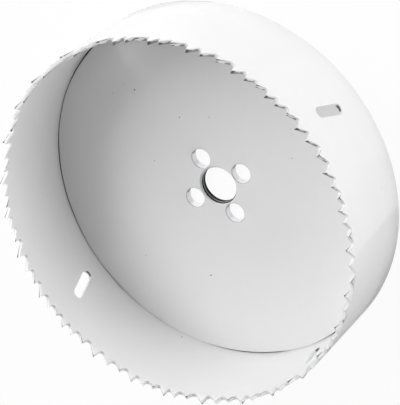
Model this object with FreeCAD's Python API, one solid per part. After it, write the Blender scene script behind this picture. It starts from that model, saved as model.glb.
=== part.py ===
import FreeCAD, Part

import math
import os

# A cup-shaped hole saw: a toothed steel strip rolled into a wall and welded
# round a thick backing plate. Millimetres. The saw stands on its back with the
# teeth up, and the origin is the centre of the arbor bore on the back face.

# Wall: a rolled strip, sized by the hole that its set teeth cut
cutting_diameter = 146.0
wall_thickness = 1.4
wall_edge_chamfer = 0.3

# Teeth: repeated in a cycle of uneven pitches, one tooth bent out, one left
# straight and one bent in. The cycle starts again at the strip's butt weld.
tooth_count = 84
pitch_cycle = (5.1, 4.4, 4.6, 4.0, 3.6, 3.8, 3.6, 4.3, 5.2)
set_cycle = (1, 0, -1)
tooth_set = 0.6
gullet_depth_per_pitch = 0.62
gullet_radius_per_pitch = 0.20
face_slant = 8.0
butt_weld_angle = 0.0

# Depth of the cup, from the tooth tips down to the plate
cutting_depth = 38.6

# Backing plate: a disc seated inside the wall's end, flush with it at the back
plate_thickness = 3.2
plate_seat_clearance = 0.05
plate_edge_relief_width = 0.5
plate_edge_relief_depth = 1.0
plate_back_chamfer = 0.4

# Arbor bore for a 5/8-18 thread: drilled at the thread's minor diameter and
# chamfered at both faces to its major diameter. Drive pin holes lie round it.
thread_major_diameter = 15.88
thread_minor_diameter = 14.5
pin_circle_diameter = 24.3
pin_hole_diameter = 7.8
pin_hole_chamfer = 0.15
pin_hole_count = 4
pin_pattern_angle = 0.0

# Slanted slots through the wall, to lever out the cut plug
slot_count = 4
slot_length = 14.5
slot_width = 4.1
slot_tilt = 14.6
slot_height_above_plate = 16.2
slot_pattern_angle = 6.5

# Extra length by which cutting tools run past what they cut
overrun = 1.0

up = FreeCAD.Vector(0, 0, 1)
centre = FreeCAD.Vector(0, 0, 0)
outer_radius = cutting_diameter / 2 - tooth_set
inner_radius = outer_radius - wall_thickness
middle_radius = outer_radius - wall_thickness / 2
tip_height = plate_thickness + cutting_depth


def revolved(points, start=0.0, sweep=360.0):
    """Solid swept round the axis by a closed outline of (radius, height) points."""
    corners = [FreeCAD.Vector(radius, 0, height) for radius, height in points]
    face = Part.Face(Part.makePolygon(corners + corners[:1]))
    face.rotate(centre, up, start)
    return face.revolve(centre, up, sweep)


def placed_on_wall(shape, angle):
    """Shape drawn with X along the wall and Y outwards, turned to its place on the wall."""
    turned = shape.copy()
    turned.translate(FreeCAD.Vector(0, middle_radius, 0))
    turned.rotate(centre, up, angle - 90)
    return turned


def through_wall(wire):
    """Prism of an outline in the XZ plane, long enough to pass through the set wall."""
    reach = wall_thickness / 2 + tooth_set + overrun
    wire.translate(FreeCAD.Vector(0, -reach, 0))
    return Part.Face(wire).extrude(FreeCAD.Vector(0, 2 * reach, 0))


def tooth_pitches():
    """Angle from each tooth tip to the next, in degrees, filling the whole circle."""
    cycle = [pitch_cycle[i % len(pitch_cycle)] for i in range(tooth_count)]
    scale = 360.0 / sum(cycle)
    return [pitch * scale for pitch in cycle]


def gullet(pitch):
    """Sizes of the gap after a tip: depth, radius and how far on its bottom lies."""
    length = math.radians(pitch) * middle_radius
    depth = gullet_depth_per_pitch * length
    radius = gullet_radius_per_pitch * length
    slant = math.radians(face_slant)
    bottom = (depth - radius) * math.tan(slant) + radius / math.cos(slant)
    return length, depth, radius, bottom


def gullet_cutter(pitch):
    """Prism of one gap: steep tooth face, round gullet, then the next tooth's back."""
    length, depth, radius, bottom = gullet(pitch)
    slant = math.radians(face_slant)
    above = overrun
    # X runs backwards along the wall, so that the prism keeps a right-handed frame
    floor = tip_height - depth
    hub = (0.0, floor + radius)
    to_tip = math.atan2(tip_height - hub[1], length - bottom)
    reach = math.hypot(tip_height - hub[1], length - bottom)
    back_slope = to_tip + math.asin(radius / reach)

    def point(along, height):
        return FreeCAD.Vector(-along, 0, height)

    face_top = point(-bottom - above * math.tan(slant), tip_height + above)
    face_end = point(hub[0] - radius * math.cos(slant), hub[1] - radius * math.sin(slant))
    lowest = point(hub[0], floor)
    back_start = point(hub[0] + radius * math.sin(back_slope), hub[1] - radius * math.cos(back_slope))
    back_end = point(length - bottom + above / math.tan(back_slope), tip_height + above)
    edges = [
        Part.makeLine(face_top, face_end),
        Part.Arc(face_end, lowest, back_start).toShape(),
        Part.makeLine(back_start, back_end),
        Part.makeLine(back_end, face_top),
    ]
    return through_wall(Part.Wire(edges))


def tooth_sector(lean, bend_depth, start, sweep):
    """Wall under one tooth, bent in or out above the bend line, from gap to gap."""
    bend = tip_height - bend_depth
    shift = lean * tooth_set
    top_shift = shift * (bend_depth + overrun) / bend_depth
    top = tip_height + overrun
    outline = [
        (inner_radius, tooth_root),
        (outer_radius, tooth_root),
        (outer_radius, bend),
        (outer_radius + top_shift, top),
        (inner_radius + top_shift, top),
        (inner_radius, bend),
    ]
    return revolved(outline, start, sweep)


def slot_cutter():
    """Slot with round ends, leaning towards the cut at its upper end."""
    half = slot_length / 2 - slot_width / 2
    side = slot_width / 2
    low_left, high_left = FreeCAD.Vector(-side, 0, -half), FreeCAD.Vector(-side, 0, half)
    low_right, high_right = FreeCAD.Vector(side, 0, -half), FreeCAD.Vector(side, 0, half)
    crown = FreeCAD.Vector(0, 0, half + side)
    foot = FreeCAD.Vector(0, 0, -half - side)
    wire = Part.Wire([
        Part.makeLine(low_left, high_left),
        Part.Arc(high_left, crown, high_right).toShape(),
        Part.makeLine(high_right, low_right),
        Part.Arc(low_right, foot, low_left).toShape(),
    ])
    wire.rotate(centre, FreeCAD.Vector(0, 1, 0), -slot_tilt)
    wire.translate(FreeCAD.Vector(0, 0, plate_thickness + slot_height_above_plate))
    return through_wall(wire)


pitches = tooth_pitches()
tip_angles = [butt_weld_angle + sum(pitches[:i]) for i in range(tooth_count)]
depths = [gullet(pitch)[1] for pitch in pitches]
gap_angles = [
    angle + math.degrees(gullet(pitch)[3] / middle_radius)
    for angle, pitch in zip(tip_angles, pitches)
]
tooth_root = tip_height - max(depths) - overrun


def saw_wall():
    """Rolled strip with its teeth cut and set and its slots punched."""
    ring = revolved([
        (inner_radius, 0),
        (outer_radius - wall_edge_chamfer, 0),
        (outer_radius, wall_edge_chamfer),
        (outer_radius, tooth_root),
        (inner_radius, tooth_root),
    ])
    sectors = []
    for i in range(tooth_count):
        # Each tooth stands between the gap before it and the gap after it
        bend_depth = min(depths[i - 1], depths[i])
        start = gap_angles[i - 1]
        sweep = (gap_angles[i] - start) % 360
        sectors.append(tooth_sector(set_cycle[i % len(set_cycle)], bend_depth, start, sweep))
    wall = ring.multiFuse(sectors).removeSplitter()
    gaps = [placed_on_wall(gullet_cutter(pitch), angle) for pitch, angle in zip(pitches, gap_angles)]
    slots = [
        placed_on_wall(slot_cutter(), slot_pattern_angle + 360.0 / slot_count * i)
        for i in range(slot_count)
    ]
    return wall.cut(gaps + slots)


def hole(diameter, chamfer, x, y):
    """Round cutter through the plate, with a chamfer at both faces."""
    radius = diameter / 2
    outline = [
        (0, -overrun),
        (radius + chamfer + overrun, -overrun),
        (radius, chamfer),
        (radius, plate_thickness - chamfer),
        (radius + chamfer + overrun, plate_thickness + overrun),
        (0, plate_thickness + overrun),
    ]
    tool = revolved(outline)
    tool.translate(FreeCAD.Vector(x, y, 0))
    return tool


def backing_plate():
    """Thick disc with a relieved edge, the arbor bore and its drive pin holes."""
    radius = inner_radius - plate_seat_clearance
    disc = revolved([
        (0, 0),
        (radius - plate_back_chamfer, 0),
        (radius, plate_back_chamfer),
        (radius, plate_thickness - plate_edge_relief_depth),
        (radius - plate_edge_relief_width, plate_thickness),
        (0, plate_thickness),
    ])
    thread_depth = (thread_major_diameter - thread_minor_diameter) / 2
    cutters = [hole(thread_minor_diameter, thread_depth, 0, 0)]
    for i in range(pin_hole_count):
        angle = math.radians(pin_pattern_angle + 360.0 / pin_hole_count * i)
        x = pin_circle_diameter / 2 * math.cos(angle)
        y = pin_circle_diameter / 2 * math.sin(angle)
        cutters.append(hole(pin_hole_diameter, pin_hole_chamfer, x, y))
    return disc.cut(cutters)


os.makedirs("parts", exist_ok=True)
for name, shape in (("saw_wall", saw_wall()), ("backing_plate", backing_plate())):
    shape.exportStep(f"parts/{name}.step")
    box = shape.BoundBox
    print(name, shape.ShapeType, "valid", shape.isValid(), "solids", len(shape.Solids),
          "faces", len(shape.Faces), "volume %.1f" % shape.Volume,
          "x %.2f %.2f z %.2f %.2f" % (box.XMin, box.XMax, box.ZMin, box.ZMax))
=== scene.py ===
# %% [markdown]
# # A hole saw in white enamel
# A large hole saw is a cup. Its wall is a strip of spring steel with teeth
# milled along one edge, rolled up and welded round a thick steel plate. The
# plate has a threaded bore for the arbor and four holes for its drive pins.
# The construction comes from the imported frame. This lesson dresses it: the
# strip is milled, set and rolled with Geometry Nodes, as in the factory, and
# the plate is turned from one section whose bore carries a real thread.

# %% Load the fixed frame
import math
from types import SimpleNamespace

import bpy
from mathutils import Matrix, Vector


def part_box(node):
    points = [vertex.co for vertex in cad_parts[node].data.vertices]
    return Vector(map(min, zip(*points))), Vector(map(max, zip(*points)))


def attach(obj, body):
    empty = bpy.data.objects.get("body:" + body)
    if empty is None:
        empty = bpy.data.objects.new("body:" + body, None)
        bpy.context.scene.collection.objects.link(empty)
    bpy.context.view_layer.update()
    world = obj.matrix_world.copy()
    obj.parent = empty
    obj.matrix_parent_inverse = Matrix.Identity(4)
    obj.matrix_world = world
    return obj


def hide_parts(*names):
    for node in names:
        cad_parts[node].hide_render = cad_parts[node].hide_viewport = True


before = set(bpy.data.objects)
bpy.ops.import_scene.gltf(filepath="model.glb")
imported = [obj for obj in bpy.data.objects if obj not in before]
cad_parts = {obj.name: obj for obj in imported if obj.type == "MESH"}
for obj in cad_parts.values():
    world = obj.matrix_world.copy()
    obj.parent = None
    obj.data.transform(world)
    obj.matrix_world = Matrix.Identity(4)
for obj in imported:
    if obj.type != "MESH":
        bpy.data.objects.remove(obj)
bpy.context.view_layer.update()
MM = 0.001
plate_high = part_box("backing_plate")[1]
wall_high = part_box("saw_wall")[1]

# %% [markdown]
# ## The camera
# The photo looks into the mouth of the cup from about 51 degrees above its
# rim. The camera is also rolled far over, so the saw seems to stand on its
# side. The place, the aim and the roll were worked out from the ellipses of
# the rim and of the plate. A long lens keeps the two ellipses nearly alike.

# %% Camera at the photo's viewing angle
CAMERA_PLACE = Vector((81.5, -447.3, 587.7)) * MM
CAMERA_AIM = Vector((-2.5, 11.7, 3.2)) * MM
CAMERA_ROLL = math.radians(-130.5)
CAMERA_LENS = 174.6

camera = bpy.data.objects.new("camera", bpy.data.cameras.new("camera"))
camera.data.lens = CAMERA_LENS
camera.data.clip_start = 10 * MM
level_view = (CAMERA_AIM - CAMERA_PLACE).to_track_quat("-Z", "Y").to_matrix().to_4x4()
roll = Matrix.Rotation(CAMERA_ROLL, 4, "Z")
camera.matrix_world = Matrix.Translation(CAMERA_PLACE) @ level_view @ roll
bpy.context.scene.collection.objects.link(camera)
bpy.context.scene.camera = camera
print("camera at", [round(c, 4) for c in camera.location])

# %% [markdown]
# ## Helpers for node trees
# Geometry Nodes and materials are both trees of nodes with sockets. A few small
# helpers keep their code readable: one adds a node and fills its inputs, each
# with a plain value or with another node's output, and the rest do arithmetic.

# %% Add a node, and do arithmetic
def put(tree, kind, inputs=None, **settings):
    """Add a node. Each input gets a value, or a link if it is another node's output."""
    node = tree.nodes.new(kind)
    for name, value in settings.items():
        setattr(node, name, value)
    for name, value in (inputs or {}).items():
        if isinstance(value, bpy.types.NodeSocket):
            tree.links.new(value, node.inputs[name])
        else:
            node.inputs[name].default_value = value
    return node


def calc(tree, operation, *values):
    """Output of a math node that works on two or three values."""
    return put(tree, "ShaderNodeMath", dict(enumerate(values)), operation=operation).outputs[0]


def xyz(tree, x=0.0, y=0.0, z=0.0):
    """Vector output made of three values."""
    return put(tree, "ShaderNodeCombineXYZ", {"X": x, "Y": y, "Z": z}).outputs[0]


def parts(tree, vector):
    """The x, y and z outputs of a vector."""
    return put(tree, "ShaderNodeSeparateXYZ", {0: vector}).outputs


def measure(tree, operation, first, second):
    """Number from two vectors: their DISTANCE or their DOT_PRODUCT."""
    return put(tree, "ShaderNodeVectorMath", {0: first, 1: second}, operation=operation).outputs["Value"]


# %% Start a geometry tree, and read the place of its points
def open_tree(name, sockets):
    """New geometry tree with named inputs. Returns it with its input sockets and its output sockets."""
    tree = bpy.data.node_groups.new(name, "GeometryNodeTree")
    tree.interface.new_socket("Geometry", in_out="OUTPUT", socket_type="NodeSocketGeometry")
    tree.interface.new_socket("Geometry", in_out="INPUT", socket_type="NodeSocketGeometry")
    for label, kind in sockets.items():
        tree.interface.new_socket(label, in_out="INPUT", socket_type="NodeSocket" + kind)
    return tree, tree.nodes.new("NodeGroupInput").outputs, tree.nodes.new("NodeGroupOutput").inputs


def position(tree):
    """Vector output with the place of each point in a geometry tree."""
    return put(tree, "GeometryNodeInputPosition").outputs[0]


# %% Run a tree on an object, and keep the plain mesh
def add_tree(piece, tree, values):
    """Add a geometry tree to a piece, with its inputs set by their identifiers."""
    modifier = piece.modifiers.new(tree.name, "NODES")
    modifier.node_group = tree
    for item in tree.interface.items_tree:
        if item.in_out == "INPUT" and item.name in values:
            modifier[item.identifier] = values[item.name]


def settle(piece):
    """Replace a piece's mesh by its evaluated mesh and drop its modifiers."""
    graph = bpy.context.evaluated_depsgraph_get()
    mesh = bpy.data.meshes.new_from_object(piece.evaluated_get(graph))
    piece.modifiers.clear()
    piece.data = mesh
    return piece


def link_mesh(name, points, faces=()):
    """New object with a mesh of the given points and faces."""
    mesh = bpy.data.meshes.new(name)
    mesh.from_pydata([tuple(p) for p in points], [], list(faces))
    piece = bpy.data.objects.new(name, mesh)
    bpy.context.scene.collection.objects.link(piece)
    return piece


def shade(piece, sharp_angle=32.0):
    """Smooth shading that keeps the edges sharper than the angle."""
    mesh = piece.data
    mesh.shade_smooth()
    mesh.set_sharp_from_angle(angle=math.radians(sharp_angle))


# %% [markdown]
# ## The toothed strip
# The teeth are milled as one long run. Their pitch changes in a cycle, which
# stops the saw from chattering, and each tooth is bent out, left straight or
# bent in. Each gap has a steep tooth face, a round gullet and the sloping
# back of the next tooth. The outline is a formula, so it is worked out here
# and handed to Geometry Nodes as a row of points.

# %% Tooth pattern along the strip
TOOTH_COUNT = 84
PITCH_CYCLE = (5.1, 4.4, 4.6, 4.0, 3.6, 3.8, 3.6, 4.3, 5.2)
SET_CYCLE = (1, 0, -1)
TOOTH_SET = 0.6 * MM
WALL_THICKNESS = 1.4 * MM
SEAT_GAP = 0.05 * MM
CUTTING_DEPTH = 38.6 * MM
GULLET_DEPTH_PER_PITCH = 0.62
GULLET_RADIUS_PER_PITCH = 0.20
FACE_SLANT = math.radians(8.0)
ARC_STEPS = 4
SLOPE_STEPS = 3

plate_top = plate_high.z
tip_height = plate_top + CUTTING_DEPTH
inner_radius = plate_high.x + SEAT_GAP
middle_radius = inner_radius + WALL_THICKNESS / 2
outer_radius = inner_radius + WALL_THICKNESS
circumference = 2 * math.pi * middle_radius
pitches = [PITCH_CYCLE[i % len(PITCH_CYCLE)] for i in range(TOOTH_COUNT)]
lengths = [pitch * circumference / sum(pitches) for pitch in pitches]
print("tooth pitch from %.2f to %.2f mm" % (min(lengths) / MM, max(lengths) / MM))


# %% Outline of one gap, from a tip to the next
def gap(length):
    """Points of a gap before and after its lowest point, and its depth."""
    depth = GULLET_DEPTH_PER_PITCH * length
    radius = GULLET_RADIUS_PER_PITCH * length
    hub_x = (depth - radius) * math.tan(FACE_SLANT) + radius / math.cos(FACE_SLANT)
    hub_z = tip_height - depth + radius
    run, rise = length - hub_x, tip_height - hub_z
    back = math.atan2(rise, run) + math.asin(radius / math.hypot(run, rise))

    def arc(start, end):
        """Points of the gullet's circle from one angle to another."""
        turns = [start + (end - start) * i / ARC_STEPS for i in range(ARC_STEPS + 1)]
        return [(hub_x + radius * math.cos(t), hub_z + radius * math.sin(t)) for t in turns]

    falling = arc(math.pi + FACE_SLANT, 1.5 * math.pi)[:-1]
    rising = arc(1.5 * math.pi, 1.5 * math.pi + back)
    foot = rising[-1]
    for i in range(1, SLOPE_STEPS):
        share = i / SLOPE_STEPS
        rising.append((foot[0] + (length - foot[0]) * share, foot[1] + (tip_height - foot[1]) * share))
    return falling, rising, depth


def strip_outline():
    """Points (along, top height, bend height, lean) from the last gullet round to itself."""
    gaps = [gap(length) for length in lengths]
    outline = []
    tip = 0.0
    for i, length in enumerate(lengths):
        before, after = gaps[i - 1], gaps[i]
        bend = tip_height - min(before[2], after[2])
        lean = SET_CYCLE[i % len(SET_CYCLE)] * TOOTH_SET
        outline += [(tip - lengths[i - 1] + x, z, bend, lean) for x, z in before[1]]
        outline.append((tip, tip_height, bend, lean))
        outline += [(tip + x, z, bend, lean) for x, z in after[0]]
        tip += length
    x, z = gaps[-1][1][0]
    outline.append((tip - lengths[-1] + x, z, bend, lean))
    return outline


outline = strip_outline()
strip_start = outline[0][0]
print("strip outline has", len(outline), "points")

# %% [markdown]
# The first tree mills the flat strip. A grid has one column of points for each
# point of the outline. Its lower rows are level, and its upper rows stretch up
# to the tooth edge. Above the bend line each tooth leans out or in. The sheet
# is extruded to its thickness, and its two ends are left open for the weld.

# %% Geometry tree: mill and set the flat strip
LOW_ROWS = 3
HIGH_ROWS = 6
SLACK = 0.001 * MM


def mill_tree():
    """Tree that turns the outline into a flat strip with set teeth and open ends."""
    tree, given, result = open_tree("mill_strip", {
        "Columns": "Int", "Root Height": "Float", "Tip Height": "Float",
        "Thickness": "Float", "Length": "Float",
    })
    rows = LOW_ROWS + HIGH_ROWS + 1
    index = put(tree, "GeometryNodeInputIndex").outputs[0]
    column = calc(tree, "FLOOR", calc(tree, "DIVIDE", index, rows))
    row = calc(tree, "MODULO", index, rows)

    def sampled(kind, value):
        """Value at the outline's point that the column stands on."""
        return put(tree, "GeometryNodeSampleIndex",
                   {"Geometry": given["Geometry"], "Value": value, "Index": column},
                   data_type=kind).outputs[0]

    def attribute(name):
        """A stored value of the outline, read for the column."""
        node = put(tree, "GeometryNodeInputNamedAttribute", {"Name": name}, data_type="FLOAT")
        return sampled("FLOAT", node.outputs[0])

    def excess(value, start):
        """How far a value is above a start, and 0 below it."""
        return calc(tree, "MAXIMUM", calc(tree, "SUBTRACT", value, start), 0.0)

    # Each column stands on one point of the outline and is set above the bend line.
    place = parts(tree, sampled("FLOAT_VECTOR", position(tree)))
    root, tip, thickness = given["Root Height"], given["Tip Height"], given["Thickness"]
    bend = attribute("bend")
    low_share = calc(tree, "DIVIDE", calc(tree, "MINIMUM", row, LOW_ROWS), LOW_ROWS)
    high_share = calc(tree, "DIVIDE", excess(row, LOW_ROWS), HIGH_ROWS)
    low = calc(tree, "MULTIPLY", low_share, root)
    height = calc(tree, "MULTIPLY_ADD", high_share, calc(tree, "SUBTRACT", place["Z"], root), low)
    bent = calc(tree, "DIVIDE", excess(height, bend), calc(tree, "SUBTRACT", tip, bend))
    out = calc(tree, "MULTIPLY_ADD", bent, attribute("lean"), calc(tree, "MULTIPLY", thickness, 0.5))
    grid = put(tree, "GeometryNodeMeshGrid", {"Vertices X": given["Columns"], "Vertices Y": rows})
    sheet = put(tree, "GeometryNodeSetPosition", {
        "Geometry": grid.outputs["Mesh"],
        "Position": xyz(tree, place["X"], out, height),
    }).outputs[0]

    # The sheet is the outer face. It is extruded inwards and joined with its own copy.
    inward = xyz(tree, y=calc(tree, "MULTIPLY", thickness, -1.0))
    thick = put(tree, "GeometryNodeExtrudeMesh",
                {"Mesh": sheet, "Offset": inward, "Offset Scale": 1.0, "Individual": False}, mode="FACES")
    joined = put(tree, "GeometryNodeJoinGeometry")
    tree.links.new(thick.outputs["Mesh"], joined.inputs[0])
    tree.links.new(put(tree, "GeometryNodeFlipFaces", {"Mesh": sheet}).outputs[0], joined.inputs[0])
    welded = put(tree, "GeometryNodeMergeByDistance", {"Geometry": joined.outputs[0], "Distance": SLACK})

    # The two end faces go, so that rolling can weld the ends together.
    along = parts(tree, position(tree))["X"]
    at_start = calc(tree, "LESS_THAN", along, SLACK)
    at_end = calc(tree, "GREATER_THAN", along, calc(tree, "SUBTRACT", given["Length"], SLACK))
    open_ended = put(tree, "GeometryNodeDeleteGeometry", {
        "Geometry": welded.outputs[0], "Selection": calc(tree, "ADD", at_start, at_end),
    }, domain="FACE", mode="ONLY_FACE")
    real = put(tree, "GeometryNodeRealizeInstances", {0: open_ended.outputs[0]})
    tree.links.new(real.outputs[0], result[0])
    return tree


# %% Mill the strip and round its edges
EDGE_ROUND = 0.08 * MM
EDGE_STEPS = 2
EDGE_ANGLE = math.radians(35)
ROOT_MARGIN = 1.0 * MM
root_height = tip_height - max(gap(length)[2] for length in lengths) - ROOT_MARGIN
strip = link_mesh("saw_wall_enamelled", [(x - strip_start, 0, z) for x, z, bend, lean in outline])
for name, place in (("bend", 2), ("lean", 3)):
    values = strip.data.attributes.new(name, "FLOAT", "POINT")
    values.data.foreach_set("value", [point[place] for point in outline])
add_tree(strip, mill_tree(), {
    "Columns": len(outline), "Root Height": root_height, "Tip Height": tip_height,
    "Thickness": WALL_THICKNESS, "Length": circumference,
})
rounding = strip.modifiers.new("edges", "BEVEL")
rounding.width = EDGE_ROUND
rounding.segments = EDGE_STEPS
rounding.limit_method = "ANGLE"
rounding.angle_limit = EDGE_ANGLE
rounding.use_clamp_overlap = False
settle(strip)
print("flat strip:", len(strip.data.vertices), "points,", len(strip.data.polygons), "faces")

# %% [markdown]
# The second tree rolls the strip round the axis and closes the butt weld by
# merging its two ends. Four slanted slots are then punched: one slot tool with
# round ends is instanced round the wall and taken away by a boolean. In the
# photo the slots aren't all equally high, so their ring is tipped a little.

# %% Slot tools for the boolean
SLOT_COUNT = 4
SLOT_WIDTH = 4.3 * MM
SLOT_LENGTH = 14.8 * MM
SLOT_TILT = math.radians(18.0)
SLOT_HEIGHT = plate_top + 16.7 * MM
FIRST_SLOT = math.radians(6.2)
SLOT_SLANT = 0.8 * MM
HIGHEST_SLOT = math.radians(-83.8)
SLOT_REACH = 3 * MM
SLOT_END_STEPS = 12
ALMOST_HALF = 0.499


def slot_tools(tree, given):
    """One closed tool with round ends at each slot, through the wall's thickness."""
    width, radius = given["Slot Width"], given["Radius"]
    shape = put(tree, "GeometryNodeCurvePrimitiveQuadrilateral", {
        "Width": width, "Height": given["Slot Length"]})
    rounded = put(tree, "GeometryNodeFilletCurve", {
        "Curve": shape.outputs[0], "Count": SLOT_END_STEPS,
        "Radius": calc(tree, "MULTIPLY", width, ALMOST_HALF)}, mode="POLY")
    path = put(tree, "GeometryNodeCurvePrimitiveLine", {
        "Start": xyz(tree, calc(tree, "SUBTRACT", radius, SLOT_REACH)),
        "End": xyz(tree, calc(tree, "ADD", radius, SLOT_REACH))})
    tool = put(tree, "GeometryNodeCurveToMesh", {
        "Curve": path.outputs[0], "Profile Curve": rounded.outputs[0], "Fill Caps": True})
    tilted = put(tree, "GeometryNodeTransform", {
        "Geometry": tool.outputs[0],
        "Rotation": xyz(tree, calc(tree, "MULTIPLY", given["Slot Tilt"], -1.0)),
        "Translation": xyz(tree, z=given["Slot Height"])})
    index = put(tree, "GeometryNodeInputIndex").outputs[0]
    turn = calc(tree, "MULTIPLY_ADD", index, 2 * math.pi / SLOT_COUNT, given["First Slot"])
    tipped = calc(tree, "COSINE", calc(tree, "SUBTRACT", turn, HIGHEST_SLOT))
    lift = xyz(tree, z=calc(tree, "MULTIPLY", tipped, SLOT_SLANT))
    starts = put(tree, "GeometryNodeMeshLine", {"Count": SLOT_COUNT, "Offset": (0, 0, 0)})
    places = put(tree, "GeometryNodeSetPosition", {"Geometry": starts.outputs[0], "Offset": lift})
    tools = put(tree, "GeometryNodeInstanceOnPoints", {
        "Points": places.outputs[0], "Instance": tilted.outputs[0], "Rotation": xyz(tree, z=turn)})
    return put(tree, "GeometryNodeRealizeInstances", {0: tools.outputs[0]}).outputs[0]


# %% [markdown]
# A tooth back turned away from the main lamp is given a painted shade, so the
# material has to know how each face lies. The tree stores three values on the
# faces: whether it is a cut face, which faces neither the axis nor away from
# it, how squarely a tooth back faces the main lamp, and how far the face looks up.

# %% Values stored on the faces
SIDEWAYS = 0.6
FOOT_HEIGHT = 0.5 * MM
# About the direction of the main lamp: tooth backs turned away from it get painted shade.
MAIN_LAMP_FROM = Vector((0.66, 0.38, 0.64))
TOOTH_BACK = -0.25


def face_values(tree):
    """Outputs to store on each face, by name."""
    x, y, z = parts(tree, position(tree))
    normal = put(tree, "GeometryNodeInputNormal").outputs[0]

    def along_normal(direction):
        """1 where the face looks along a direction, and -1 where it looks away."""
        return measure(tree, "DOT_PRODUCT", normal, direction)

    def level_direction(x, y):
        """Direction of length 1 with no height."""
        return put(tree, "ShaderNodeVectorMath", {0: xyz(tree, x, y)}, operation="NORMALIZE").outputs[0]

    outward = level_direction(x, y)
    onward = level_direction(calc(tree, "MULTIPLY", y, -1.0), x)
    sideways = calc(tree, "LESS_THAN", calc(tree, "ABSOLUTE", along_normal(outward)), SIDEWAYS)
    above_foot = calc(tree, "GREATER_THAN", z, FOOT_HEIGHT)
    back = calc(tree, "LESS_THAN", along_normal(onward), TOOTH_BACK)
    back_to_lamp = calc(tree, "MULTIPLY_ADD", back, calc(tree, "SUBTRACT", along_normal(MAIN_LAMP_FROM), 1.0), 1.0)
    return {
        "cut_face": calc(tree, "MULTIPLY", sideways, above_foot),
        # How squarely a tooth back faces the main lamp, which sets its painted shade.
        "lamp_facing": back_to_lamp,
        "facing_up": along_normal((0.0, 0.0, 1.0)),
    }


# %% Geometry tree: roll the strip and punch its slots
WELD_GAP = 0.01 * MM


def roll_tree():
    """Tree that rolls the strip into a ring, punches its slots and marks its faces."""
    tree, given, result = open_tree("roll_strip", {
        "Radius": "Float", "Start Angle": "Float", "Slot Width": "Float", "Slot Length": "Float",
        "Slot Tilt": "Float", "Slot Height": "Float", "First Slot": "Float", "Material": "Material",
    })
    along, out, height = parts(tree, position(tree))
    turn = calc(tree, "ADD", calc(tree, "DIVIDE", along, given["Radius"]), given["Start Angle"])
    radius = calc(tree, "ADD", given["Radius"], out)
    x = calc(tree, "MULTIPLY", radius, calc(tree, "COSINE", turn))
    y = calc(tree, "MULTIPLY", radius, calc(tree, "SINE", turn))
    rolled = put(tree, "GeometryNodeSetPosition", {
        "Geometry": given["Geometry"], "Position": xyz(tree, x, y, height)})
    flipped = put(tree, "GeometryNodeFlipFaces", {"Mesh": rolled.outputs[0]})
    ring = put(tree, "GeometryNodeMergeByDistance", {"Geometry": flipped.outputs[0], "Distance": WELD_GAP})
    punched = put(tree, "GeometryNodeMeshBoolean", operation="DIFFERENCE", solver="EXACT")
    tree.links.new(ring.outputs[0], punched.inputs["Mesh 1"])
    tree.links.new(slot_tools(tree, given), punched.inputs["Mesh 2"])
    marked = punched.outputs["Mesh"]
    for name, value in face_values(tree).items():
        marked = put(tree, "GeometryNodeStoreNamedAttribute",
                     {"Geometry": marked, "Name": name, "Value": value},
                     data_type="FLOAT", domain="FACE").outputs[0]
    real = put(tree, "GeometryNodeRealizeInstances", {0: marked})
    finished = put(tree, "GeometryNodeSetMaterial", {
        "Geometry": real.outputs[0], "Material": given["Material"]})
    tree.links.new(finished.outputs[0], result[0])
    return tree


# %% Roll the strip
wall_enamel = bpy.data.materials.new("wall_enamel")
plate_enamel = bpy.data.materials.new("plate_enamel")
add_tree(strip, roll_tree(), {
    "Radius": middle_radius, "Start Angle": strip_start / middle_radius,
    "Slot Width": SLOT_WIDTH, "Slot Length": SLOT_LENGTH, "Slot Tilt": SLOT_TILT,
    "Slot Height": SLOT_HEIGHT, "First Slot": FIRST_SLOT, "Material": wall_enamel,
})
wall = settle(strip)
shade(wall)
print("rolled wall:", len(wall.data.vertices), "points,", len(wall.data.polygons), "faces")

# %% [markdown]
# ## The backing plate
# The plate is a turned disc, so one section is spun round the axis. Along the
# bore the section isn't a straight line: its radius follows a screw thread,
# cut back by a wide chamfer at the mouth. The radius depends only on the angle
# and the height, so the whole bore is one grid of points with no boolean. The
# relief of the front edge changes with the angle, because in the photo paint
# fills the joint to the wall in some places and leaves it open in others.

# %% Section and thread of the plate
INCH = 25.4 * MM
THREAD_PITCH = INCH / 18
THREAD_MAJOR = 15.88 * MM / 2
THREAD_MINOR = 14.5 * MM / 2
THREAD_ROWS = 44
THREAD_CREST = 0.25
THREAD_ROOT = 0.125
THREAD_START = 0.69
SPIN_STEPS = 240
RELIEF_WIDTH = 0.5 * MM
RELIEF_DEPTH = 1.0 * MM
BACK_CHAMFER = 0.4 * MM
FACE_RINGS = (0.16, 0.3, 0.5, 0.7, 0.85)
plate_radius = plate_high.x
# Angle in degrees, and how open the joint is there.
JOINT_OPENNESS = (
    (0, 0.9), (12, 1.0), (18, 1.0), (24, 0.85), (30, 0.6), (36, 0.6), (44, 0.6), (52, 0.85), (76, 0.85),
    (84, 0.6), (104, 0.5), (110, 0.35), (116, 0.2), (128, 0.08), (138, 0.02), (141, 0.4), (148, 0.6),
    (152, 0.75), (165, 0.75), (170, 0.1), (174, 0.02), (178, 0.02), (182, 0.3), (186, 0.6), (190, 0.9),
    (215, 0.6), (250, 0.9), (290, 0.5), (330, 0.8), (360, 0.9),
)


def joint_openness(degrees):
    """How open the joint round the plate is at an angle: 1 is bare, near 0 is filled with paint."""
    for (start, low), (end, high) in zip(JOINT_OPENNESS, JOINT_OPENNESS[1:]):
        if start <= degrees <= end:
            return low + (high - low) * (degrees - start) / (end - start)


def bore_radius(turn, height):
    """Radius of the threaded bore: a V thread, opened by a chamfer at the front."""
    phase = (height / THREAD_PITCH - turn + THREAD_START) % 1.0
    flank = (abs(2 * phase - 1) - THREAD_CREST) / (1 - THREAD_CREST - THREAD_ROOT)
    thread = THREAD_MINOR + (THREAD_MAJOR - THREAD_MINOR) * min(max(flank, 0.0), 1.0)
    mouth = THREAD_MAJOR - (plate_top - height)
    return max(thread, mouth)


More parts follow.
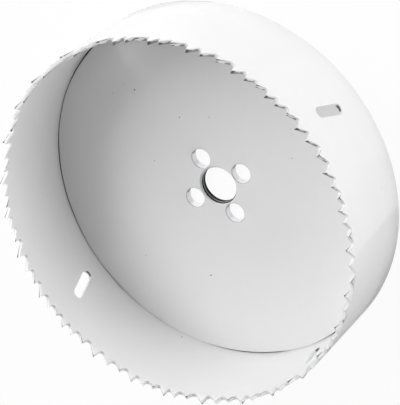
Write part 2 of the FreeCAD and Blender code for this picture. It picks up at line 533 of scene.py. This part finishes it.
def spun_plate():
    """Plate as rings of points: up the bore, out over the face, down the edge and back."""
    bore_heights = [plate_top * i / THREAD_ROWS for i in range(THREAD_ROWS + 1)]
    ring_radii = [plate_radius * share for share in FACE_RINGS]
    face = [(radius, plate_top) for radius in ring_radii]
    edge = [(plate_radius, BACK_CHAMFER), (plate_radius - BACK_CHAMFER, 0.0)]
    back = [(radius, 0.0) for radius in reversed(ring_radii)]
    points, faces = [], []
    for step in range(SPIN_STEPS):
        turn = step / SPIN_STEPS
        opened = joint_openness(360 * turn)
        relief = [(plate_radius - RELIEF_WIDTH * opened, plate_top),
                  (plate_radius, plate_top - RELIEF_DEPTH * opened)]
        bore = [(bore_radius(turn, height), height) for height in bore_heights]
        section = bore + face + relief + edge + back
        angle = 2 * math.pi * turn
        points += [(r * math.cos(angle), r * math.sin(angle), z) for r, z in section]
        count = len(section)
        here, following = step * count, (step + 1) % SPIN_STEPS * count
        for i in range(count):
            j = (i + 1) % count
            faces.append((here + i, here + j, following + j, following + i))
    return link_mesh("backing_plate_enamelled", points, faces)


plate = spun_plate()
print("spun plate:", len(plate.data.polygons), "faces")

# %% Drill the drive pin holes
PIN_COUNT = 4
PIN_CIRCLE = 24.3 * MM / 2
PIN_RADIUS = 7.8 * MM / 2
PIN_ROUND = 0.2 * MM
PIN_STEPS = 48
FLARE_STEPS = 4
CUTTER_REACH = 2 * MM
PIN_TURNS = [2 * math.pi * k / PIN_COUNT for k in range(PIN_COUNT)]
PIN_PLACES = [(PIN_CIRCLE * math.cos(turn), PIN_CIRCLE * math.sin(turn)) for turn in PIN_TURNS]


def pin_cutters():
    """Closed round cutters whose ends flare, so that they leave rounded hole edges."""
    profile = [(PIN_RADIUS + PIN_ROUND, -CUTTER_REACH)]
    for i in range(FLARE_STEPS + 1):
        t = i / FLARE_STEPS * math.pi / 2
        profile.append((PIN_RADIUS + PIN_ROUND * (1 - math.sin(t)), PIN_ROUND * (1 - math.cos(t))))
    profile += [(r, plate_top - z) for r, z in reversed(profile)]
    points, faces = [], []
    for x, y in PIN_PLACES:
        centre = Vector((x, y, 0))
        base = len(points)
        for radius, z in profile:
            for s in range(PIN_STEPS):
                t = 2 * math.pi * s / PIN_STEPS
                points.append(centre + Vector((radius * math.cos(t), radius * math.sin(t), z)))
        for row in range(len(profile) - 1):
            for s in range(PIN_STEPS):
                a, b = base + row * PIN_STEPS + s, base + row * PIN_STEPS + (s + 1) % PIN_STEPS
                faces.append((a, b, b + PIN_STEPS, a + PIN_STEPS))
        last = base + (len(profile) - 1) * PIN_STEPS
        faces.append(tuple(reversed(range(base, base + PIN_STEPS))))
        faces.append(tuple(range(last, last + PIN_STEPS)))
    return link_mesh("pin_cutters", points, faces)


cutters = pin_cutters()
drill = plate.modifiers.new("drill", "BOOLEAN")
drill.operation = "DIFFERENCE"
drill.solver = "EXACT"
drill.object = cutters
settle(plate)
bpy.data.objects.remove(cutters)
plate.data.materials.clear()
plate.data.materials.append(plate_enamel)
shade(plate)
print("drilled plate:", len(plate.data.polygons), "faces")

# %% [markdown]
# ## Helpers for materials
# The finishes are mixed from masks: a mask is 1 where a finish shows and 0
# elsewhere. The helpers below read the place of the shaded point, make a soft
# mask from any number, add noise and spots, and mix two colours or numbers.
# Some masks keep their limits as a pair: they are 0 at the first and 1 at the
# second.

# %% Group with named sockets, and the shaded point
def open_group(name, given, made):
    """New shader node group. Returns it with its input sockets and its output sockets."""
    group = bpy.data.node_groups.new(name, "ShaderNodeTree")
    for label, (kind, default) in given.items():
        socket = group.interface.new_socket(label, in_out="INPUT", socket_type="NodeSocket" + kind)
        socket.default_value = default
    for label, kind in made.items():
        group.interface.new_socket(label, in_out="OUTPUT", socket_type="NodeSocket" + kind)
    return group, group.nodes.new("NodeGroupInput").outputs, group.nodes.new("NodeGroupOutput").inputs


def shaded_point(tree):
    """The shaded point in object coordinates, its distance from the axis, height and angle."""
    spot = put(tree, "ShaderNodeTexCoord").outputs["Object"]
    x, y, z = parts(tree, spot)
    squares = calc(tree, "ADD", calc(tree, "MULTIPLY", x, x), calc(tree, "MULTIPLY", y, y))
    radius, angle = calc(tree, "SQRT", squares), calc(tree, "ARCTAN2", y, x)
    return SimpleNamespace(spot=spot, radius=radius, height=z, angle=angle)


# %% Soft masks, noise, spots and mixing
SPOT_CORE = 0.6


def rise(tree, value, low, high):
    """Mask that goes smoothly from 0 to 1 while the value goes from low to high."""
    limits = {"Value": value, "From Min": low, "From Max": high}
    return put(tree, "ShaderNodeMapRange", limits, interpolation_type="SMOOTHSTEP").outputs["Result"]


def noise(tree, spot, scale, detail=2.0):
    """Noise of about 0.2 to 0.8 whose patches are about 1 / scale metres wide."""
    return put(tree, "ShaderNodeTexNoise", {"Vector": spot, "Scale": scale, "Detail": detail}).outputs[0]


def spots(tree, spot, places):
    """Mask of round spots. Each place is x, y, z and the radius, in millimetres."""
    mask = 0.0
    for x, y, z, size in places:
        away = measure(tree, "DISTANCE", spot, (x * MM, y * MM, z * MM))
        mask = calc(tree, "MAXIMUM", mask, rise(tree, away, size * MM, size * SPOT_CORE * MM))
    return mask


def mix_colour(tree, share, first, second, blend="MIX"):
    """Colour between two colours."""
    return put(tree, "ShaderNodeMix", {0: share, 6: first, 7: second},
               data_type="RGBA", blend_type=blend).outputs[2]


def mix_value(tree, share, first, second):
    """Number between two numbers."""
    return put(tree, "ShaderNodeMix", {0: share, 2: first, 3: second}, data_type="FLOAT").outputs[0]


def grey(level):
    """Opaque grey colour."""
    return (level, level, level, 1.0)


# %% [markdown]
# ## White enamel
# The saw is sprayed in white enamel. The paint isn't one flat colour: it is
# thicker in some places than in others, hands leave faint dull patches, and
# its skin has a fine orange peel. A node group makes all three from noise, so
# the wall and the plate share the paint, each with its own values.

# %% Node group: enamel paint
CLOUD_SCALE = 28.0
CLOUD_SHADE = 0.05
MOTTLE_SCALE = 260.0
MOTTLE_SHADE = 0.016
DARKEST = 0.967
DULL_SCALE = 75.0
DULL_PATCHES = (0.3, 0.8)
DULLER_BY = 0.08
PEEL_SCALE = 110.0
PEEL_SHARE = 4.0
GRIT_SCALE = 900.0
PEEL_DEPTH = 0.02 * MM


def paint_group():
    """Enamel: clouded colour, dull patches and orange peel."""
    group, given, made = open_group(
        "enamel_paint",
        {"Colour": ("Color", grey(0.8)), "Roughness": ("Float", 0.35), "Peel": ("Float", 0.1)},
        {"Colour": "Color", "Roughness": "Float", "Normal": "Vector"})
    spot = shaded_point(group).spot
    cloud = noise(group, spot, CLOUD_SCALE, 3.0)
    mottle = noise(group, spot, MOTTLE_SCALE)
    coat = calc(group, "MULTIPLY_ADD", mottle, MOTTLE_SHADE, DARKEST)
    coat = calc(group, "MULTIPLY_ADD", cloud, CLOUD_SHADE, coat)
    group.links.new(mix_colour(group, 1.0, given["Colour"], coat, "MULTIPLY"), made["Colour"])
    dull = rise(group, noise(group, spot, DULL_SCALE), *DULL_PATCHES)
    group.links.new(calc(group, "MULTIPLY_ADD", dull, DULLER_BY, given["Roughness"]), made["Roughness"])
    wave = noise(group, spot, PEEL_SCALE, 1.0)
    peel = calc(group, "MULTIPLY_ADD", wave, PEEL_SHARE, noise(group, spot, GRIT_SCALE))
    bump = put(group, "ShaderNodeBump", {
        "Height": peel, "Strength": given["Peel"], "Distance": PEEL_DEPTH})
    group.links.new(bump.outputs[0], made["Normal"])
    return group


paint_nodes = paint_group()
print("enamel paint sockets:", [s.name for s in paint_nodes.interface.items_tree])

# %% [markdown]
# ## Specks, the open joint and bare steel
# Three things interrupt the paint. Dust has left a few dark pinholes. The
# joint between plate and wall is a thin crevice with near-black painted shade
# in it, which the paint bridges in some places. Cut edges and thread show bare
# steel, which is stained and has an uneven sheen. Steel tones also paint the
# shade on tooth backs and the light in the pin holes.

# %% Node group: pinholes in the paint
PINHOLE = (0.02, 0.01)
# Place and radius in millimetres.
SPECKS = (
    (47.1, 9.3, 3.2, 0.36), (-29.7, 26.3, 3.2, 0.34), (29.7, -1.8, 3.2, 0.28),
    (-3.6, -35.5, 3.2, 0.22), (24.4, -13.4, 3.2, 0.20), (-11.4, 48.7, 3.2, 0.20),
    (19.9, 19.5, 3.2, 0.20), (50.1, 18.9, 3.2, 0.18), (50.7, 12.0, 3.2, 0.15),
    (4.0, -41.1, 3.2, 0.14), (6.3, -41.8, 3.2, 0.14), (-46.5, 53.6, 5.7, 0.30),
    (-57.9, 41.0, 5.3, 0.18), (69.8, 13.2, 29.5, 0.18),
)


def speck_group():
    """Dark pinholes: the placed ones, and tiny random ones in some cells of a grid."""
    group, given, made = open_group(
        "paint_specks", {"Spacing": ("Float", 9.0), "Share": ("Float", 0.1)}, {"Mask": "Float"})
    spot = shaded_point(group).spot
    cells = put(group, "ShaderNodeTexVoronoi", {
        "Vector": spot, "Scale": calc(group, "DIVIDE", 1.0 / MM, given["Spacing"])})
    chosen = calc(group, "LESS_THAN", parts(group, cells.outputs["Color"])[0], given["Share"])
    random = calc(group, "MULTIPLY", chosen, rise(group, cells.outputs["Distance"], *PINHOLE))
    group.links.new(calc(group, "MAXIMUM", random, spots(group, spot, SPECKS)), made["Mask"])
    return group


speck_nodes = speck_group()
print(len(SPECKS), "pinholes are placed, and the smallest ones are random")

# %% Node group: open joint between plate and wall, with painted shade in it
DEEP = (0.02 * MM, 0.25 * MM)
JOINT_RIM = 0.1 * MM
JOINT_END = (inner_radius + 0.6 * MM, inner_radius + 0.3 * MM)


def joint_group():
    """Near-black painted shade in the crevice between plate and wall, as open at each angle as the table
    says.
    """
    group, given, made = open_group("open_joint", {"Width": ("Float", 0.5 * MM)}, {"Mask": "Float"})
    here = shaded_point(group)
    turn = calc(group, "FRACT", calc(group, "DIVIDE", here.angle, 2 * math.pi))
    openness = put(group, "ShaderNodeValToRGB", {"Fac": turn})
    stops = openness.color_ramp.elements
    stops[0].position, stops[0].color = 0.0, grey(JOINT_OPENNESS[0][1])
    stops[1].position, stops[1].color = 1.0, grey(JOINT_OPENNESS[-1][1])
    for degrees, level in JOINT_OPENNESS[1:-1]:
        stops.new(degrees / 360).color = grey(level)
    depth = calc(group, "MINIMUM", calc(group, "SUBTRACT", plate_top, here.height), here.height)
    start = calc(group, "SUBTRACT", plate_radius, given["Width"])
    full = calc(group, "SUBTRACT", plate_radius - JOINT_RIM, calc(group, "MULTIPLY", given["Width"], 0.5))
    mask = calc(group, "MULTIPLY", rise(group, depth, *DEEP), rise(group, here.radius, start, full))
    mask = calc(group, "MULTIPLY", mask, rise(group, here.radius, *JOINT_END))
    # Painted shade in the open joint, weaker where paint bridges it.
    group.links.new(calc(group, "MULTIPLY", mask, openness.outputs["Color"]), made["Mask"])
    return group


joint_nodes = joint_group()
print("the joint's openness is set at", len(JOINT_OPENNESS), "angles")

# %% Node group: bare steel
STAIN_SCALE = 420.0
STAIN_SHADE = 0.5
MOST_STAINED = 0.75
GRAIN_SCALE = 3200.0
SHEEN_SPREAD = 0.2


def steel_group():
    """Bare steel: a stained grey with a fine uneven sheen."""
    group, given, made = open_group(
        "bare_steel", {"Tone": ("Float", 0.4), "Roughness": ("Float", 0.38)},
        {"Colour": "Color", "Roughness": "Float"})
    spot = shaded_point(group).spot
    stain = noise(group, spot, STAIN_SCALE, 3.0)
    grain = noise(group, spot, GRAIN_SCALE, 1.0)
    stained = calc(group, "MULTIPLY_ADD", stain, STAIN_SHADE, MOST_STAINED)
    tone = calc(group, "MULTIPLY", given["Tone"], stained)
    red, blue = calc(group, "MULTIPLY", tone, 1.01), calc(group, "MULTIPLY", tone, 1.02)
    colour = put(group, "ShaderNodeCombineColor", {"Red": red, "Green": tone, "Blue": blue})
    group.links.new(colour.outputs[0], made["Colour"])
    smooth = calc(group, "SUBTRACT", given["Roughness"], SHEEN_SPREAD / 2)
    group.links.new(calc(group, "MULTIPLY_ADD", grain, SHEEN_SPREAD, smooth), made["Roughness"])
    return group


steel_nodes = steel_group()
print("bare steel sockets:", [s.name for s in steel_nodes.interface.items_tree])

# %% [markdown]
# ## The two finishes
# Both materials stack the same layers: enamel, then steel where a mask shows
# it, then the pinholes, the joint and the dark marks. On the wall a dark steel
# tone is painted shade on tooth backs turned from the main lamp, and bare steel
# shows as a thin broken line along cut edges. On the plate bare steel shows on
# the thread's crests, and bright steel in the pin holes is painted light.

# %% Stack the layers of a material
DARK = 0.012
PITS = 0.03
PAINT_PEEL = 0.35
MATT = 0.7


def group_node(tree, nodes, **values):
    """Place a node group in a material, with its own input values."""
    return put(tree, "ShaderNodeGroup", values, node_tree=nodes).outputs


def finish(material, level, roughness, shine, steel_tone, steel_mask, dark_mask):
    """White enamel over steel. The last three are functions that add their nodes to the tree.

    The tree, its shader and the mask of the clean paint are returned.
    """
    material.use_nodes = True
    tree = material.node_tree
    shader = tree.nodes["Principled BSDF"]
    paint = group_node(tree, paint_nodes, Colour=grey(level), Roughness=roughness, Peel=PAINT_PEEL)
    steel = group_node(tree, steel_nodes, Tone=steel_tone(tree))
    # Steel layer: bare steel, painted shade on tooth backs and painted light in the pin holes.
    steel_share = steel_mask(tree)
    joint = group_node(tree, joint_nodes)["Mask"]
    specks = group_node(tree, speck_nodes)["Mask"]
    # Dark marks: chips, thread roots and the lower bore, with painted shade in the joint, the slots' lower
    # ends and the pin holes.
    dark = calc(tree, "MAXIMUM", joint, dark_mask(tree))
    dirt_and_shade = calc(tree, "MAXIMUM", dark, specks)
    clean = calc(tree, "SUBTRACT", 1.0, dirt_and_shade)
    colour = mix_colour(tree, steel_share, paint["Colour"], steel["Colour"])
    colour = mix_colour(tree, specks, colour, grey(PITS))
    colour = mix_colour(tree, dark, colour, grey(DARK))
    rough = mix_value(tree, steel_share, paint["Roughness"], steel["Roughness"])
    rough = mix_value(tree, dirt_and_shade, rough, MATT)
    metal = calc(tree, "MULTIPLY", calc(tree, "MULTIPLY", steel_share, clean), shine)
    tree.links.new(colour, shader.inputs["Base Color"])
    tree.links.new(rough, shader.inputs["Roughness"])
    tree.links.new(metal, shader.inputs["Metallic"])
    tree.links.new(paint["Normal"], shader.inputs["Normal"])
    return tree, shader, calc(tree, "MULTIPLY", calc(tree, "SUBTRACT", 1.0, steel_share), clean)


# %% Wall: painted shade on tooth backs turned from the main lamp, and thin paint along all edges
EDGE_LINE = 0.12 * MM
# Painted shade on tooth backs: its limits on the lamp facing, and its reach from the inner face.
LAMP_SHADE = (0.2, 0.02)
SHADE_DEPTH = 0.1 * MM
SHADE_RAGGED = 0.9 * MM
SHADE_AT_ENDS = 0.4 * MM
SHADE_FADE = (-0.1 * MM, 0.2 * MM)
LINE_BREAKS = (0.2, 0.6)
TIPS = (tip_height - 1.2 * MM, tip_height - 0.5 * MM)
GULLETS = (tip_height - 2.0 * MM, tip_height - 2.6 * MM)
TEETH = (root_height, root_height + 0.5 * MM)
# Steel tones of the edges and of the painted shade, darkest at the tips.
BACK_TONE = 0.3
TIP_TONE = 0.12


def face_mark(tree, name):
    """Value that the rolling tree stored on the faces."""
    return put(tree, "ShaderNodeAttribute", attribute_name=name).outputs["Fac"]


def tooth_shade_and_edges(tree):
    """Dark steel of the teeth: painted shade on backs turned from the main lamp, from the inside out, and
    bare edges.
    """
    here = shaded_point(tree)
    broken = noise(tree, here.spot, 700.0)
    shade_radius = calc(tree, "MULTIPLY_ADD", broken, SHADE_RAGGED, inner_radius + SHADE_DEPTH)
    ends = calc(tree, "MAXIMUM", rise(tree, here.height, *TIPS), rise(tree, here.height, *GULLETS))
    shade_radius = calc(tree, "MULTIPLY_ADD", ends, SHADE_AT_ENDS, shade_radius)
    in_shade = rise(tree, calc(tree, "SUBTRACT", shade_radius, here.radius), *SHADE_FADE)
    # Painted shade on tooth backs turned away from the main lamp.
    back_shade = calc(tree, "MULTIPLY", rise(tree, face_mark(tree, "lamp_facing"), *LAMP_SHADE), in_shade)
    inner_edge = rise(tree, here.radius, inner_radius + EDGE_LINE, inner_radius)
    outer_edge = rise(tree, here.radius, outer_radius - EDGE_LINE, outer_radius)
    edges = calc(tree, "MAXIMUM", inner_edge, outer_edge)
    edges = calc(tree, "MULTIPLY", edges, rise(tree, broken, *LINE_BREAKS))
    cut = calc(tree, "MULTIPLY", face_mark(tree, "cut_face"), rise(tree, here.height, *TEETH))
    return calc(tree, "MULTIPLY", cut, calc(tree, "MAXIMUM", back_shade, edges))


def tooth_tone(tree):
    """Tone of the steel and of the painted shade, darker at the tips."""
    return mix_value(tree, rise(tree, shaded_point(tree).height, *TIPS), BACK_TONE, TIP_TONE)


# %% [markdown]
# The outside of the wall is glossier than the inside, so a clear coat lies
# over its clean paint. Chips have darkened three teeth, and the inner half of
# each slot's lower end carries painted shade.

# %% Wall: painted shade in the slot ends and chipped teeth, under a clear gloss outside
# Place and radius in millimetres.
CHIPS = ((39.3, 59.6, 39.4, 0.4), (21.7, 68.0, 38.0, 0.5), (-11.3, 70.5, 38.4, 0.5))
LOOKS_UP = (0.7, 0.9)
LOWER_HALF = (root_height, SLOT_HEIGHT)
INNER_HALF = (inner_radius + 1.1 * MM, inner_radius + 0.7 * MM)
# Darkness of the chips and of the painted shade in the slot ends.
CHIP_AND_SHADE = 0.85
COAT_START = 0.4 * MM
COAT_ROUGHNESS = 0.08


def chips_and_slot_shade(tree):
    """Dark marks on cut faces: painted shade on the inner half of each slot's lower end, and the chips."""
    here = shaded_point(tree)
    # Painted shade on the inner half of each slot's lower end.
    low_end = calc(tree, "MULTIPLY", rise(tree, face_mark(tree, "facing_up"), *LOOKS_UP),
                   rise(tree, here.height, *LOWER_HALF))
    low_end = calc(tree, "MULTIPLY", low_end, rise(tree, here.radius, *INNER_HALF))
    dark = calc(tree, "MAXIMUM", low_end, spots(tree, here.spot, CHIPS))
    return calc(tree, "MULTIPLY", calc(tree, "MULTIPLY", dark, face_mark(tree, "cut_face")), CHIP_AND_SHADE)


tree, shader, painted = finish(
    wall_enamel, level=0.84, roughness=0.3, shine=0.3,
    steel_tone=tooth_tone, steel_mask=tooth_shade_and_edges, dark_mask=chips_and_slot_shade)
outside = rise(tree, shaded_point(tree).radius, middle_radius, middle_radius + COAT_START)
tree.links.new(calc(tree, "MULTIPLY", painted, outside), shader.inputs["Coat Weight"])
shader.inputs["Coat Roughness"].default_value = COAT_ROUGHNESS
print("wall finish has", len(wall_enamel.node_tree.nodes), "nodes")

# %% [markdown]
# The plate's paint is duller. The walls of its pin holes are bright steel as
# painted light, and the crests of its thread are rubbed bare. The roots
# between them are near black.

# %% Plate: painted light in the drive pin holes, and thread crests rubbed bare
PIN_FADE = 0.04 * MM
PIN_LINE = 0.06 * MM
THREAD_TONE = 0.25
# Bright steel in the pin holes: painted light.
PIN_TONE = 0.9
CREST = (THREAD_MINOR + 0.2 * MM, THREAD_MINOR + 0.05 * MM)
BELOW_MOUTH = (0.75 * MM, 0.9 * MM)


def pin_walls(tree, size):
    """Mask of everything within a radius of the nearest pin hole's axis."""
    spot = shaded_point(tree).spot
    flat = put(tree, "ShaderNodeVectorMath", {0: spot, 1: (1.0, 1.0, 0.0)}, operation="MULTIPLY").outputs[0]
    nearest = 1.0
    for x, y in PIN_PLACES:
        nearest = calc(tree, "MINIMUM", nearest, measure(tree, "DISTANCE", flat, (x, y, 0.0)))
    return rise(tree, nearest, size + PIN_FADE, size - PIN_FADE)


def crests_and_pin_light(tree):
    """Steel of the plate: bare crests of the thread, and painted light in the pin holes."""
    here = shaded_point(tree)
    depth = calc(tree, "SUBTRACT", plate_top, here.height)
    crest = calc(tree, "MULTIPLY", rise(tree, here.radius, *CREST), rise(tree, depth, *BELOW_MOUTH))
    # Pin hole walls take bright steel as painted light.
    return calc(tree, "MAXIMUM", crest, pin_walls(tree, PIN_RADIUS + PIN_ROUND))


def plate_tone(tree):
    """Tone of the steel, bright in the pin holes as painted light."""
    return mix_value(tree, pin_walls(tree, PIN_RADIUS + PIN_LINE), THREAD_TONE, PIN_TONE)


# %% Plate: dark thread roots, a darker lower bore, and painted shade in the pin holes
ROOT = (THREAD_MINOR + 0.03 * MM, THREAD_MINOR + 0.18 * MM)
BORE = (THREAD_MAJOR + 0.12 * MM, THREAD_MAJOR + 0.04 * MM)
BELOW_CHAMFER = (0.1 * MM, 0.3 * MM)
LOW_BORE = (1.3 * MM, 0.9 * MM)
# Painted shade in the pin holes: place from a pin hole's axis and height, radius in millimetres, and
# darkness.
PIN_SHADE = ((3.5, 1.7, 1.8, 1.5, 0.6), (1.4, 3.6, 1.6, 3.6, 0.15))


def dark_thread_and_pin_shade(tree):
    """Dark marks: the roots of the thread, the bore's lower end, and painted shade in the pin holes."""
    here = shaded_point(tree)
    depth = calc(tree, "SUBTRACT", plate_top, here.height)
    below = calc(tree, "SUBTRACT", calc(tree, "ADD", depth, here.radius), THREAD_MAJOR)
    bore = rise(tree, here.radius, *BORE)
    dark_roots = calc(tree, "MULTIPLY", calc(tree, "MULTIPLY", rise(tree, here.radius, *ROOT), bore),
                rise(tree, below, *BELOW_CHAMFER))
    dark_bottom = calc(tree, "MULTIPLY", rise(tree, here.height, *LOW_BORE), bore)
    dark = calc(tree, "MAXIMUM", dark_roots, dark_bottom)
    # Painted shade on the same side of every pin hole.
    for aside, along, up, size, level in PIN_SHADE:
        places = [(x / MM + aside, y / MM + along, up, size) for x, y in PIN_PLACES]
        dark = calc(tree, "MAXIMUM", dark, calc(tree, "MULTIPLY", spots(tree, here.spot, places), level))
    walls = pin_walls(tree, PIN_RADIUS + PIN_ROUND)
    return calc(tree, "MULTIPLY", dark, calc(tree, "MAXIMUM", walls, bore))


finish(plate_enamel, level=0.80, roughness=0.4, shine=1.0,
       steel_tone=plate_tone, steel_mask=crests_and_pin_light, dark_mask=dark_thread_and_pin_shade)
print("plate finish has", len(plate_enamel.node_tree.nodes), "nodes")

# %% Hand the pieces to the frame
for piece, node, slot in ((wall, "saw_wall", "wall_paint"), (plate, "backing_plate", "plate_paint")):
    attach(piece, "root")
    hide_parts(node)

# %% [markdown]
# ## Floor, light and view
# The photo has a pure white ground. The floor here is nearly white to the
# camera, and still takes a soft shadow from the saw. Reflections see the real
# floor, so the outside of the wall darkens where it meets its shadow. The main
# lamp stands high beyond the rim on the +X side: in the photo that side of the
# inside is darkest, because it lies in the rim's shadow. Three low lamps reach
# only the outside and the teeth, and weaker high ones soften the shadow.

# %% [markdown]
# The gloss of the wall mirrors the edge of the photographer's white tent as a
# step that runs straight down the wall. Here the floor stands in for the
# tent: in front of the saw, reflections see it white on the near side of two
# lines, each drawn from the wall's foot the way that the mirrored view runs.
# They see it white under the plate's holes too.

# %% Where reflections see the floor white
WALL_RADIUS = wall_high.x
# Azimuth of the wall's foot and course of the line in degrees, softness and share.
TENT_EDGES = ((-122, -171.4, 0.7 * MM, 0.6), (-104, -135.4, 2 * MM, 0.4))
TENT_SIDE = (math.radians(-50), math.radians(-75))
UNDER_HOLES = (50 * MM, 40 * MM)


def near_side(tree, spot, azimuth, course, softness):
    """Mask of the floor on the near side of a line from the wall's foot, with angles in degrees."""
    azimuth, course = math.radians(azimuth), math.radians(course)
    across = Vector((-math.sin(course), math.cos(course), 0))
    start = across.dot(Vector((math.cos(azimuth), math.sin(azimuth), 0)) * WALL_RADIUS)
    away = measure(tree, "DOT_PRODUCT", spot, across)
    return rise(tree, away, start - softness, start + softness)


def mirrored_white(tree):
    """Mask of the floor that is white in reflections: under the plate's holes and inside the tent."""
    here = shaded_point(tree)
    tent = 0.0
    for azimuth, course, softness, share in TENT_EDGES:
        near = near_side(tree, here.spot, azimuth, course, softness)
        tent = calc(tree, "MULTIPLY_ADD", near, share, tent)
    tent = calc(tree, "MULTIPLY", tent, rise(tree, here.angle, *TENT_SIDE))
    tent = calc(tree, "MULTIPLY", tent, rise(tree, here.radius, WALL_RADIUS - MM, WALL_RADIUS))
    return calc(tree, "MAXIMUM", tent, rise(tree, here.radius, *UNDER_HOLES))


# %% Floor
FLOOR_SIZE = 4.0
FLOOR_GREY = 0.88
FLOOR_ROUGHNESS = 0.9
SEEN_WHITE = 0.93

corners = [(x * FLOOR_SIZE, y * FLOOR_SIZE, 0) for x, y in ((-1, -1), (1, -1), (1, 1), (-1, 1))]
floor = link_mesh("floor", corners, [(0, 1, 2, 3)])
paper = bpy.data.materials.new("paper")
paper.use_nodes = True
floor.data.materials.append(paper)
tree = paper.node_tree
shader = tree.nodes["Principled BSDF"]
shader.inputs["Base Color"].default_value = grey(FLOOR_GREY)
shader.inputs["Roughness"].default_value = FLOOR_ROUGHNESS
white = put(tree, "ShaderNodeEmission", {"Color": grey(1.0), "Strength": 1.0})
ray = put(tree, "ShaderNodeLightPath").outputs
reflected = calc(tree, "MULTIPLY", ray["Is Glossy Ray"], mirrored_white(tree))
seen = calc(tree, "MULTIPLY", calc(tree, "MAXIMUM", ray["Is Camera Ray"], reflected), SEEN_WHITE)
mixed = put(tree, "ShaderNodeMixShader", {0: seen, 1: shader.outputs[0], 2: white.outputs[0]})
tree.links.new(mixed.outputs[0], tree.nodes["Material Output"].inputs["Surface"])
print("floor of", 2 * FLOOR_SIZE, "m")

# %% Lamps and world
LAMP_DISTANCE = 1.2
LAMP_SIZE = 0.7
LAMP_AIM = Vector((0, 0, 20 * MM))
WORLD_LIGHT = 0.16
# Name, azimuth and elevation in degrees, power in watts.
LAMPS = (
    ("main", 30, 42, 7.2), ("side", 0, 42, 2.5), ("side_low", 0, 24, 2.4), ("back", 90, 42, 0.7),
    ("back_high", 90, 62, 1.0), ("far_high", 120, 62, 0.6),
    ("rim_right", -60, 6, 6.2), ("rim_front", -120, 6, 7.6), ("rim_left", 180, 6, 3.4),
)


def lamp(name, azimuth, elevation, power):
    """Square soft lamp at an angle in degrees, which looks at the middle of the saw."""
    data = bpy.data.lights.new(name, "AREA")
    data.size = LAMP_SIZE
    data.energy = power
    light = bpy.data.objects.new(name, data)
    a, e = math.radians(azimuth), math.radians(elevation)
    outward = Vector((math.cos(e) * math.cos(a), math.cos(e) * math.sin(a), math.sin(e)))
    light.location = LAMP_AIM + LAMP_DISTANCE * outward
    light.rotation_euler = (-outward).to_track_quat("-Z", "Y").to_euler()
    bpy.context.scene.collection.objects.link(light)


for name, azimuth, elevation, power in LAMPS:
    lamp(name, azimuth, elevation, power)
print(len(LAMPS), "lamps,", round(sum(row[3] for row in LAMPS), 1), "W together")
world = bpy.data.worlds.new("studio")
bpy.context.scene.world = world
world.use_nodes = True
background = world.node_tree.nodes["Background"]
background.inputs["Color"].default_value = grey(1.0)
background.inputs["Strength"].default_value = WORLD_LIGHT

# %% View settings
bpy.context.scene.view_settings.view_transform = "Standard"
